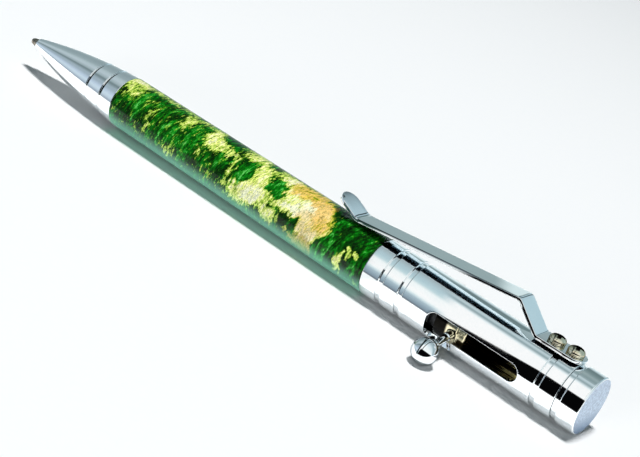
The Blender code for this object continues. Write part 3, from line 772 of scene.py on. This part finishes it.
boltSize = {
    "x": -29.3, "clock": math.radians(105.26),
    "plungerFront": -33.4, "plungerRear": -26.2, "plunger": 4.95, "pinSocket": 1.55, "pinSocketDepth": 3.2,
    "stem": 0.88, "stemRoot": 1.9, "stemWaist": (6.4, 10.0), "stemHole": 1.05,
    "reach": 13.3, "knob": 2.645, "knobNeck": 1.35, "knobHoleDepth": 1.65,
}


def buildPlunger():
    size = boltSize
    front, rear, radius = size["plungerFront"], size["plungerRear"], size["plunger"]
    socket, socketEnd = size["pinSocket"], front + size["pinSocketDepth"]
    corners = [
        (socketEnd, 0), (socketEnd, socket), (front, socket, 0.05), (front, radius, 0.15),
        (rear - 2.2, radius, 0.06), (rear - 2.1, radius - 0.14, 0.05), (rear - 1.75, radius - 0.14, 0.05),
        (rear - 1.65, radius, 0.06), (rear, radius, 0.35), (rear, 0)]
    block = meshObject(turned(corners, 160, False, 1.0), "plungerBlock", "plungerBrass")
    cutAway(block, roundCutter(size["x"], size["clock"], size["stemHole"], 1.85, 7))
    finishPiece(block, "bolt", "plunger")


def buildStem():
    size = boltSize
    thick, root = size["stem"], size["stemRoot"]
    low, high = size["stemWaist"]
    top = size["reach"] - size["knob"] + 1.6
    corners = [
        (root, 0), (root, thick, 0.1), (low, thick, 0.05), (low + 0.3, thick - 0.12, 0.2),
        (high - 0.3, thick - 0.12, 0.2), (high, thick, 0.05), (top, thick, 0.1), (top, 0)]
    bm = turned(corners, 64, False, 0.8)
    stoodUp(bm, size["x"], size["clock"])
    stem = meshObject(bm, "boltPin", "polishedChrome")
    finishPiece(stem, "bolt", "bolt_stem")


def buildKnob():
    size = boltSize
    reach, radius, neck, hole = size["reach"], size["knob"], size["knobNeck"], size["stemHole"]
    neckTurn = math.asin(neck / radius)
    neckTop = reach - radius * math.cos(neckTurn)
    floor = reach - radius + size["knobHoleDepth"]
    corners = [
        (floor, 0), (floor, hole), (neckTop - 0.6, hole, 0.04), (neckTop - 0.6, neck, 0.12), (neckTop, neck, 0.08)]
    for step in range(1, 40):
        turn = neckTurn + (math.pi - neckTurn) * step / 40
        corners.append((reach - radius * math.cos(turn), radius * math.sin(turn)))
    corners.append((reach + radius, 0))
    bm = turned(corners, 128, False)
    stoodUp(bm, size["x"], size["clock"])
    knob = meshObject(bm, "ballKnob", "knobChrome")
    finishPiece(knob, "knob", "bolt_knob")


buildPlunger()
buildStem()
buildKnob()


# Clip: a strip with round ends, bent along its path

clipSize = {
    "width": 5.2, "thickness": 0.746, "footFront": -14.9, "riserRun": 5.7, "armLength": 37.7, "armRise": 4.45,
    "noseGap": 0.3, "lipLength": 6.4, "lipAngle": math.radians(24), "bend": 1.3, "lipBend": 3.0,
    "body": 6.15, "bottom": 6.25, "edge": 0.16, "screwPlaces": (-11.45, -7.25), "screwHole": 1.0,
}


def clipPath():
    # The strip's middle line from the lip to the foot, as (x, height) points.
    size = clipSize
    half = size["thickness"] / 2
    footHeight = size["bottom"] + half
    nose = size["body"] + size["noseGap"] + half
    footEnd = (size["screwPlaces"][1] + size["width"] / 2, footHeight)
    footFront = (size["footFront"], footHeight, size["bend"])
    armRear = (size["footFront"] - size["riserRun"], nose + size["armRise"], size["bend"])
    armFront = (armRear[0] - size["armLength"], nose, size["lipBend"])
    lipEnd = (
        armFront[0] - size["lipLength"] * math.cos(size["lipAngle"]),
        nose + size["lipLength"] * math.sin(size["lipAngle"]))
    return divided(softened([lipEnd, armFront, armRear, footFront, footEnd], False, 14), 1.5, False)


def flatStrip(length):
    # A strip with round ends and rounded rims, as it is before it is bent.
    size = clipSize
    half, thickness = size["width"] / 2, size["thickness"]
    bm = bmesh.new()
    verts = []
    for middle, start in ((half, math.pi / 2), (length - half, -math.pi / 2)):
        for step in range(25):
            turn = start + math.pi * step / 24
            verts.append(bm.verts.new((middle + half * math.cos(turn), half * math.sin(turn), -thickness / 2)))
    grown = bmesh.ops.extrude_face_region(bm, geom=[bm.faces.new(verts)])
    moved = [item for item in grown["geom"] if isinstance(item, bmesh.types.BMVert)]
    bmesh.ops.translate(bm, verts=moved, vec=(0, 0, thickness))
    bmesh.ops.recalc_face_normals(bm, faces=bm.faces)
    rims = [edge for edge in bm.edges if abs(edge.verts[0].co.z - edge.verts[1].co.z) < 1e-6]
    bmesh.ops.bevel(
        bm, geom=rims, offset=size["edge"], offset_type="OFFSET", segments=4, profile=0.5, material=-1,
        affect="EDGES")
    return bm


def bent(bm, path, reaches):
    # Every point of the flat strip goes to its place along the path.
    directions = []
    for index in range(len(path)):
        before, after = path[max(index - 1, 0)], path[min(index + 1, len(path) - 1)]
        directions.append((after - before).normalized())
    for vert in bm.verts:
        reach = max(0, min(reaches[-1], vert.co.x))
        index = max(i for i in range(len(reaches) - 1) if reaches[i] <= reach + 1e-9)
        share = (vert.co.x - reaches[index]) / (reaches[index + 1] - reaches[index])
        place = path[index].lerp(path[index + 1], share)
        along = directions[index].lerp(directions[index + 1], max(0, min(1, share))).normalized()
        vert.co = Vector((place.x - along.y * vert.co.z, vert.co.y, place.y + along.x * vert.co.z)) * mm


def buildClip():
    size = clipSize
    path = clipPath()
    reaches = [0.0]
    for before, after in zip(path, path[1:]):
        reaches.append(reaches[-1] + (after - before).length)
    bm = flatStrip(reaches[-1])
    cuts = [((reach, 0, 0), (1, 0, 0)) for reach in reaches[1:-1]]
    cuts += [((0, across, 0), (0, 1, 0)) for across in (-1.3, 0, 1.3)]
    for place, direction in cuts:
        bmesh.ops.bisect_plane(
            bm, geom=[*bm.verts, *bm.edges, *bm.faces], dist=0.001, plane_co=place, plane_no=direction)
    bent(bm, path, reaches)
    bmesh.ops.remove_doubles(bm, verts=bm.verts, dist=0.0005 * mm)
    bmesh.ops.recalc_face_normals(bm, faces=bm.faces)
    strip = meshObject(bm, "bentClip", "polishedChrome", "clipUnderside")
    # Faces that look down get the painted shade of the clip's underside.
    for face in strip.data.polygons:
        if face.normal.z < -0.8 and abs(face.center.y) < (size["width"] / 2 - 0.1) * mm:
            face.material_index = 1
    cutAway(strip, *[roundCutter(place, 0, size["screwHole"], 5, 8.5) for place in size["screwPlaces"]])
    finishPiece(strip, "pen_body", "clip")


buildClip()


# Clip screws: domed heads with a cross recess

screwSize = {
    "shank": 0.85, "head": 1.74, "height": 1.5, "rim": 0.5, "bottom": 7.05,
    "recess": 0.8, "depth": 0.8, "recessTurns": (20, 110),
    "places": (("frontScrew", "clip_screw_front", -11.45, 5.05), ("rearScrew", "clip_screw_rear", -7.25, 2.95)),
}


def recessCutter(x, degrees):
    size = screwSize
    bm = bmesh.new()
    bmesh.ops.create_cube(bm, size=1, matrix=Matrix.Diagonal((
        size["head"] * 1.35 * mm, size["recess"] * mm, 2 * size["depth"] * mm, 1)))
    bmesh.ops.bevel(
        bm, geom=list(bm.edges), offset=0.08 * mm, segments=2, profile=0.5, material=-1, affect="EDGES")
    bmesh.ops.rotate(bm, verts=bm.verts, cent=(0, 0, 0), matrix=Matrix.Rotation(math.radians(degrees), 3, "Z"))
    bmesh.ops.translate(bm, verts=bm.verts, vec=(x * mm, 0, (size["bottom"] + size["height"]) * mm))
    return meshObject(bm, "recessCutter")


def buildScrew(name, node, x, shankEnd):
    size = screwSize
    head, shank, bottom = size["head"], size["shank"], size["bottom"]
    rim = bottom + size["rim"]
    dome = size["height"] - size["rim"]
    corners = [
        (shankEnd, 0), (shankEnd, shank, 0.1), (bottom, shank), (bottom, head, 0.12), (rim, head, 0.1)]
    for step in range(1, 14):
        turn = math.pi / 2 * step / 14
        corners.append((rim + dome * math.sin(turn), head * math.cos(turn)))
    corners.append((rim + dome, 0))
    bm = turned(corners, 96, False, 0.6)
    stoodUp(bm, x, 0)
    screw = meshObject(bm, name, "warmNickel", "recessMetal")
    cutAway(screw, *[recessCutter(x, degrees) for degrees in size["recessTurns"]])
    # What the cutters left below the dome is the recess, which gets the painted shade.
    for face in screw.data.polygons:
        middle = face.center / mm - Vector((x, 0, rim))
        if middle.z > 0.05 and math.hypot(middle.xy.length / head, middle.z / dome) < 0.97:
            face.material_index = 1
    finishPiece(screw, "pen_body", node)


for screwPlace in screwSize["places"]:
    buildScrew(*screwPlace)


# Spring: an open winding whose end turns lie closed

springSize = {
    "front": -137.0, "rear": -129.4, "coil": 2.4, "wire": 0.2, "openTurns": 6.5, "endPitch": 0.5, "perTurn": 40,
}


def springPath():
    # The wire's middle line: one close turn, the open turns and one close turn.
    size = springSize
    pitch = (size["rear"] - size["front"]) / (size["openTurns"] + 2 * size["endPitch"])
    places = []
    for index in range(round((size["openTurns"] + 2) * size["perTurn"]) + 1):
        turn = index / size["perTurn"]
        opened = max(0, min(turn - 1, size["openTurns"]))
        x = size["front"] + pitch * (opened + (turn - opened) * size["endPitch"])
        angle = math.tau * turn
        places.append(Vector((x, size["coil"] * math.cos(angle), size["coil"] * math.sin(angle))) * mm)
    return places


def buildSpring():
    size = springSize
    path = springPath()
    bm = bmesh.new()
    rings = []
    for before, place, after in zip(path[:1] + path, path, path[1:] + path[-1:]):
        along = (after - before).normalized()
        out = Vector((0, place.y, place.z)).normalized()
        tilt = Matrix((out, along.cross(out).normalized(), along)).transposed().to_4x4()
        rings.append(bmesh.ops.create_circle(
            bm, segments=12, radius=size["wire"] * mm, matrix=Matrix.Translation(place) @ tilt)["verts"])
    for lower, upper in zip(rings, rings[1:]):
        for index in range(len(lower)):
            bm.faces.new((lower[index - 1], lower[index], upper[index], upper[index - 1]))
    for ring in (rings[0], rings[-1]):
        bm.faces.new(ring)
    bmesh.ops.recalc_face_normals(bm, faces=bm.faces)
    spring = meshObject(bm, "woundSpring", "drawnSteel")
    polished(spring, 60)
    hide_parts("refill_spring")
    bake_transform(spring)
    print("made", spring.name, len(spring.data.polygons))


buildSpring()


# Nib coupler: a threaded spigot and the part that is pressed into the barrel

couplerSize = {
    "shoulder": -120.7, "spigotLength": 7.7, "pressLength": 7.6, "bore": 3.3, "core": 3.9, "crest": 4.15,
    "press": 4.35, "ridges": 6,
}


def buildCoupler():
    size = couplerSize
    shoulder, core, crest, press = size["shoulder"], size["core"], size["crest"], size["press"]
    front, rear = shoulder - size["spigotLength"], shoulder + size["pressLength"]
    corners = [(front, size["bore"], 0.05), (front, core, 0.1)]
    for ridge in range(size["ridges"]):
        start = front + 0.5 + ridge
        corners += [
            (start, core, 0.05), (start + 0.3, crest, 0.08), (start + 0.6, crest, 0.08), (start + 0.9, core, 0.05)]
    corners += [
        (shoulder - 0.05, core, 0.05), (shoulder, press, 0.03), (rear, press, 0.05), (rear, size["bore"], 0.05)]
    coupler = meshObject(turned(corners, 128, True), "nibCoupler", "machinedBrass")
    finishPiece(coupler, "pen_body", "nib_coupler")


buildCoupler()


# Carried-over pieces get their finishes

for node, finish in (
        ("barrel_tube", "machinedBrass"), ("rear_coupler", "machinedBrass"), ("refill_tube", "drawnSteel"),
        ("refill_plug", "blackAcetal"), ("refill_seat", "blackAcetal")):
    for slot in bpy.data.objects[node].material_slots:
        slot.material = bpy.data.materials[finish]
    print("dressed", node)


# Floor

floorLook = {
    "height": -6.15, "reach": 3.0, "glow": 0.01, "mirrorGlow": 0.5, "mirrorEdge": -20.0,
    "penEdge": (-2.2, -5.2), "knobPlace": (-29.3, -12.8, -6.15), "knobEdge": (1.8, 4.2),
    "barrelFront": (-123, -119), "barrelRear": (-50, -54),
}


def firstMirror(tree, path):
    # One for a mirror ray that no dull surface has sent on.
    return times(tree, path["Is Glossy Ray"], mathOf(tree, "LESS_THAN", path["Diffuse Depth"], 0.5))


def buildFloor():
    look = floorLook
    bm = bmesh.new()
    bmesh.ops.create_grid(bm, x_segments=2, y_segments=2, size=look["reach"])
    bmesh.ops.translate(bm, verts=bm.verts, vec=(0, 0, look["height"] * mm))
    tree, shader = newMaterial("paleFloor", Roughness=0.9, Specular_IOR_Level=0.0)
    point = objectPoint(tree)
    feed(tree, shader.inputs["Base Color"], mixColours(
        tree, noiseOf(tree, point, 900.0, 4.0, 0.6), (0.92, 0.93, 0.94, 1), (0.95, 0.95, 0.95, 1)))
    path = putNode(tree, "ShaderNodeLightPath").outputs
    mirror = firstMirror(tree, path)
    x, y = partsOf(tree, point)[:2]

    def between(value, edges, low=0.0):
        return rangeOf(tree, value, edges[0] * mm, edges[1] * mm, low, 1.0)

    # For mirror rays the floor glows as painted light; this glow is taken away, as painted shadow, near where the pen
    # and its knob stand on it and beside the barrel.
    knobGap = vectorOf(tree, "DISTANCE", point, Vector(look["knobPlace"]) * mm, output="Value")
    lit = times(tree, between(y, look["penEdge"], 0.12), between(knobGap, look["knobEdge"]))
    besideBarrel = times(tree, between(x, look["barrelFront"]), between(x, look["barrelRear"]))
    lit = times(tree, lit, minus(tree, 1.0, besideBarrel))
    mirrored = times(tree, times(tree, mirror, lit), look["mirrorGlow"])
    shader.inputs["Emission Color"].default_value = (0.92, 0.97, 1.0, 1)
    feed(tree, shader.inputs["Emission Strength"], mathOf(
        tree, "ADD", times(tree, path["Is Camera Ray"], look["glow"]), mirrored))
    # Farther out the mirrors look through the floor into the room.
    gap = times(tree, mathOf(tree, "LESS_THAN", y, look["mirrorEdge"] * mm), mirror)
    clear = nodeOf(tree, "ShaderNodeBsdfTransparent")
    both = nodeOf(tree, "ShaderNodeMixShader", gap, shader.outputs[0], clear)
    feed(tree, tree.nodes["Material Output"].inputs["Surface"], both)
    floor = meshObject(bm, "paleFloor", "paleFloor")
    print("floor is ready")


buildFloor()


# Room: what the chrome mirrors, painted for mirror rays only

roomBands = {
    # Each stop is (clock angle in degrees, red, green, blue of the room there).
    "rear": [
        (-179, 0.87, 0.96, 0.98), (-86, 0.91, 0.97, 0.98), (-74, 0.74, 0.81, 0.83), (-62, 0.42, 0.50, 0.51),
        (-50, 0.44, 0.52, 0.53), (-38, 0.50, 0.58, 0.59), (-26, 0.60, 0.67, 0.68), (-14, 0.53, 0.61, 0.62),
        (-6, 0.60, 0.67, 0.69), (-2, 0.76, 0.83, 0.85), (3, 0.72, 0.79, 0.81), (8, 0.58, 0.66, 0.68),
        (12, 0.62, 0.69, 0.71), (20, 0.92, 0.96, 0.97), (25, 1.0, 1.0, 1.0), (61, 1.0, 1.0, 1.0),
        (62.5, 0.02, 0.02, 0.025), (112, 0.02, 0.02, 0.025), (114, 1.0, 1.0, 1.0), (140, 0.99, 1.0, 1.0),
        (160, 0.93, 0.99, 1.0), (179, 0.87, 0.96, 0.98)],
    "middle": [
        (-179, 0.92, 0.97, 0.98), (-86, 0.94, 0.98, 0.99), (-74, 0.86, 0.93, 0.94), (-62, 0.54, 0.62, 0.63),
        (-50, 0.48, 0.57, 0.59), (-38, 0.62, 0.71, 0.74), (-26, 0.54, 0.62, 0.65), (-14, 0.58, 0.65, 0.68),
        (-2, 0.65, 0.72, 0.74), (10, 0.69, 0.78, 0.81), (22, 0.71, 0.81, 0.84), (33, 0.77, 0.86, 0.88),
        (44, 0.97, 0.99, 0.99), (66, 1.0, 1.0, 1.0), (73, 0.97, 0.99, 0.99), (80, 0.82, 0.89, 0.91),
        (86, 0.68, 0.76, 0.80), (96, 0.60, 0.68, 0.73), (106, 0.52, 0.59, 0.64), (110, 0.34, 0.38, 0.43),
        (114, 0.97, 0.99, 0.99), (150, 1.0, 1.0, 1.0), (179, 0.93, 0.98, 0.99)],
    "side": [
        (-179, 0.93, 0.97, 0.98), (-90, 0.78, 0.87, 0.90), (-66, 0.70, 0.81, 0.85), (-30, 0.62, 0.70, 0.73),
        (0, 0.86, 0.92, 0.94), (30, 0.98, 1.0, 1.0), (60, 0.98, 1.0, 1.0), (62.5, 0.02, 0.02, 0.025),
        (110, 0.02, 0.02, 0.025), (113, 0.98, 1.0, 1.0), (150, 0.95, 0.99, 1.0), (179, 0.90, 0.95, 0.96)],
    "barrel": [
        (-179, 0.60, 0.82, 0.74), (-100, 0.62, 0.69, 0.70), (-66, 0.58, 0.66, 0.67), (-50, 0.50, 0.57, 0.58),
        (-34, 0.10, 0.12, 0.12), (90, 0.08, 0.10, 0.10), (130, 0.24, 0.38, 0.34), (160, 0.50, 0.74, 0.66),
        (179, 0.60, 0.82, 0.74)],
    "tip": [
        (-179, 0.93, 0.97, 0.98), (-86, 0.70, 0.77, 0.79), (-74, 0.62, 0.69, 0.70), (-62, 0.57, 0.64, 0.66),
        (-44, 0.56, 0.63, 0.65), (-20, 0.60, 0.67, 0.69), (-4, 0.70, 0.77, 0.79), (8, 0.72, 0.78, 0.81),
        (24, 0.62, 0.69, 0.71), (31, 0.47, 0.54, 0.56), (36, 0.48, 0.55, 0.57), (48, 0.62, 0.69, 0.73),
        (60, 0.64, 0.71, 0.76), (74, 0.74, 0.81, 0.88), (86, 0.80, 0.87, 0.92), (96, 0.76, 0.83, 0.88),
        (104, 0.66, 0.72, 0.78), (108, 0.56, 0.62, 0.68), (113, 0.98, 0.99, 1.0), (150, 1.0, 1.0, 1.0),
        (179, 0.95, 0.98, 0.99)],
}

roomLook = {
    "zones": (  # name, and where it takes over from the zone before, from the side to the front of the pen
        ("rear", -0.20, -0.25), ("middle", -0.350, -0.362), ("barrel", -0.402, -0.415), ("tip", -0.57, -0.60)),
    "leanStart": -0.294, "lean": 415 / 360, "stripe": 0.92,
    "roomColour": (0.035, 0.065, 0.075, 1),
}


def turnShare(degrees):
    return degrees / 360 + 0.5


def buildRoom():
    look = roomLook
    room = bpy.data.worlds.new("studioRoom")
    bpy.context.scene.world = room
    room.use_nodes = True
    tree = room.node_tree
    tree.nodes.clear()
    x, y, z = partsOf(tree, nodeOf(tree, "ShaderNodeTexCoord", output="Generated"))
    share = mathOf(tree, "MULTIPLY_ADD", mathOf(tree, "ARCTAN2", times(tree, y, -1.0), z), 1 / math.tau, 0.5)
    # The dark part of the room starts lower down towards the front.
    lean = times(tree, mathOf(tree, "MAXIMUM", minus(tree, look["leanStart"], x), 0.0), look["lean"])
    leaning = minus(tree, share, times(tree, lean, rangeOf(tree, share, turnShare(34), turnShare(60))))

    def bandsOf(name):
        stops = [(turnShare(angle), *colour) for angle, *colour in roomBands[name]]
        return rampOf(tree, leaning if name == "rear" else share, stops)

    bands = bandsOf("side")
    for name, start, end in look["zones"]:
        bands = mixColours(tree, rangeOf(tree, x, start, end), bands, bandsOf(name))
    # A dark upright stripe near the front draws the thin lines along rims and grooves.
    stripe = times(tree, rangeOf(tree, x, -0.15, -0.12), rangeOf(tree, x, -0.02, -0.05))
    stripe = times(tree, stripe, rangeOf(tree, share, turnShare(120), turnShare(100)))
    bands = mixColours(tree, times(tree, stripe, look["stripe"]), bands, (0.002, 0.002, 0.003, 1))
    path = putNode(tree, "ShaderNodeLightPath").outputs
    colour = mixColours(tree, firstMirror(tree, path), look["roomColour"], bands)
    seen = mathOf(tree, "MAXIMUM", path["Is Camera Ray"], path["Is Transmission Ray"])
    background = nodeOf(tree, "ShaderNodeBackground", mixColours(tree, seen, colour, (1, 1, 1, 1)))
    feed(tree, putNode(tree, "ShaderNodeOutputWorld").inputs["Surface"], background)
    print("room is ready")


buildRoom()


# Lamps and camera

lampLook = {
    "target": (-0.07, 0, 0),
    "lamps": (  # name, place, width, power
        ("topLamp", (-0.07, -0.02, 1.2), 0.22, 13.7), ("frontLamp", (-0.05, -0.9, 0.085), 0.3, 3.6)),
}

cameraLook = {
    "sensor": 36, "lens": 95.625, "near": 0.01,
    "place": (
        (0.752714, -0.493912, 0.435285, 0.081781),
        (0.555638, 0.121975, -0.822429, -0.279480),
        (0.353113, 0.860914, 0.366248, 0.124433),
        (0, 0, 0, 1)),
}


def buildLamp(name, place, width, power):
    lamp = bpy.data.lights.new(name, "AREA")
    lamp.shape = "DISK"
    lamp.size = width
    lamp.energy = power
    holder = putInScene(name, lamp)
    holder.location = Vector(place)
    aim = Vector(lampLook["target"]) - holder.location
    holder.rotation_euler = aim.to_track_quat("-Z", "Y").to_euler()
    holder.visible_glossy = False
    holder.visible_camera = False


def buildCamera():
    look = cameraLook
    data = bpy.data.cameras.new("photoCamera")
    data.sensor_width = look["sensor"]
    data.lens = look["lens"]
    data.clip_start = look["near"]
    camera = putInScene("photoCamera", data)
    camera.matrix_world = Matrix(look["place"])
    bpy.context.scene.camera = camera


for lampSettings in lampLook["lamps"]:
    buildLamp(*lampSettings)
buildCamera()
bpy.context.scene.view_settings.view_transform = "Standard"
print("lamps and camera are ready")
